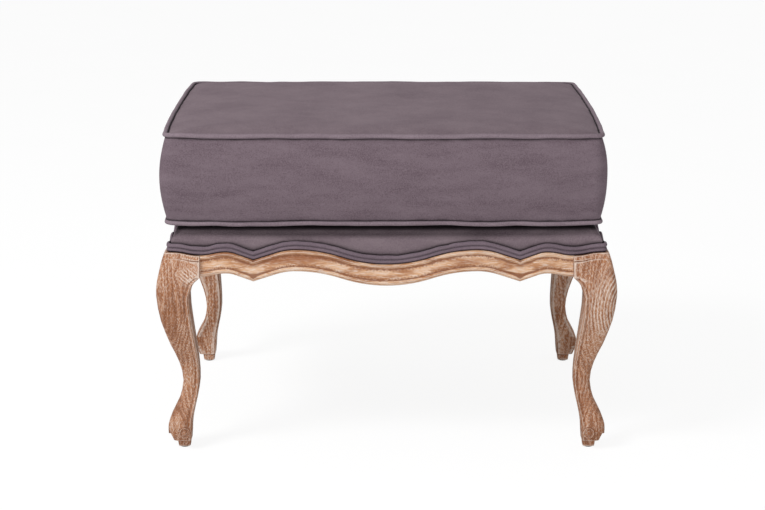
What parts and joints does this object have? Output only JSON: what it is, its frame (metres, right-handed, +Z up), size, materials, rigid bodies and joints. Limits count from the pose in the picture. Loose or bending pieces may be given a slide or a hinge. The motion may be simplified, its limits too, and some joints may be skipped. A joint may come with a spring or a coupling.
{
  "type": "ottoman",
  "caption": "Upholstered ottoman with a loose piped box cushion on a carved serpentine oak frame with cabriole legs.",
  "frame": {"origin": "on the floor, under the middle of the frame", "axes": "+Z up; +X to the right, along the longer side; the front faces -Y and the cushion's zip faces +Y"},
  "size_m": [0.6996, 0.5296, 0.5015],
  "materials": {
    "limed_oak": "satin",
    "frame_timber": "matte",
    "screw_steel": "satin",
    "staple_steel": "satin",
    "felt": "matte",
    "webbing": "matte",
    "hessian": "matte",
    "deck_foam": "matte",
    "velvet": "matte",
    "dust_cloth": "matte",
    "fibre_wrap": "matte",
    "cushion_foam": "matte",
    "zip_tape": "matte",
    "zip_coil": "satin",
    "zip_metal": "satin"
  },
  "bodies": {
    "frame": {"front_left_leg": "limed_oak", "front_right_leg": "limed_oak", "back_left_leg": "limed_oak", "back_right_leg": "limed_oak", "front_rail": "limed_oak", "back_rail": "limed_oak", "left_rail": "limed_oak", "right_rail": "limed_oak", "front_left_corner_block": "frame_timber", "front_right_corner_block": "frame_timber", "back_left_corner_block": "frame_timber", "back_right_corner_block": "frame_timber", "corner_block_screws": "screw_steel", "webbing_staples": "staple_steel", "foot_glides": "felt", "webbing_lengthwise": "webbing", "webbing_crosswise": "webbing", "hessian_cloth": "hessian", "deck_foam": "deck_foam", "deck_cover": "velvet", "double_welt": "velvet", "dust_cover": "dust_cloth"},
    "cushion": {"cushion_piping_bottom": "velvet", "cushion_piping_top": "velvet", "cushion_boxing": "velvet", "zip_panel_upper": "velvet", "zip_panel_lower": "velvet", "cushion_top_panel": "velvet", "cushion_bottom_panel": "velvet", "cushion_wrap": "fibre_wrap", "cushion_foam": "cushion_foam", "zip_tapes": "zip_tape", "zip_rows": "zip_coil", "zip_stops": "zip_metal"},
    "zip_slider": {"zip_slider": "zip_metal"},
    "zip_pull": {"zip_pull": "zip_metal"}
  },
  "joints": [
    {"name": "cushion_lift", "type": "slide", "parent": "frame", "child": "cushion", "axis": [0, 0, 1], "range_m": [0, 0.2]},
    {"name": "zip_run", "type": "slide", "parent": "cushion", "child": "zip_slider", "axis": [-1, 0, 0], "range_m": [0, 0.43]},
    {"name": "pull_swing", "type": "hinge", "parent": "zip_slider", "child": "zip_pull", "pos_m": [0.2152, 0.2609, 0.42595], "axis": [0, 0, 1], "range_deg": [-180, 0]}
  ]
}
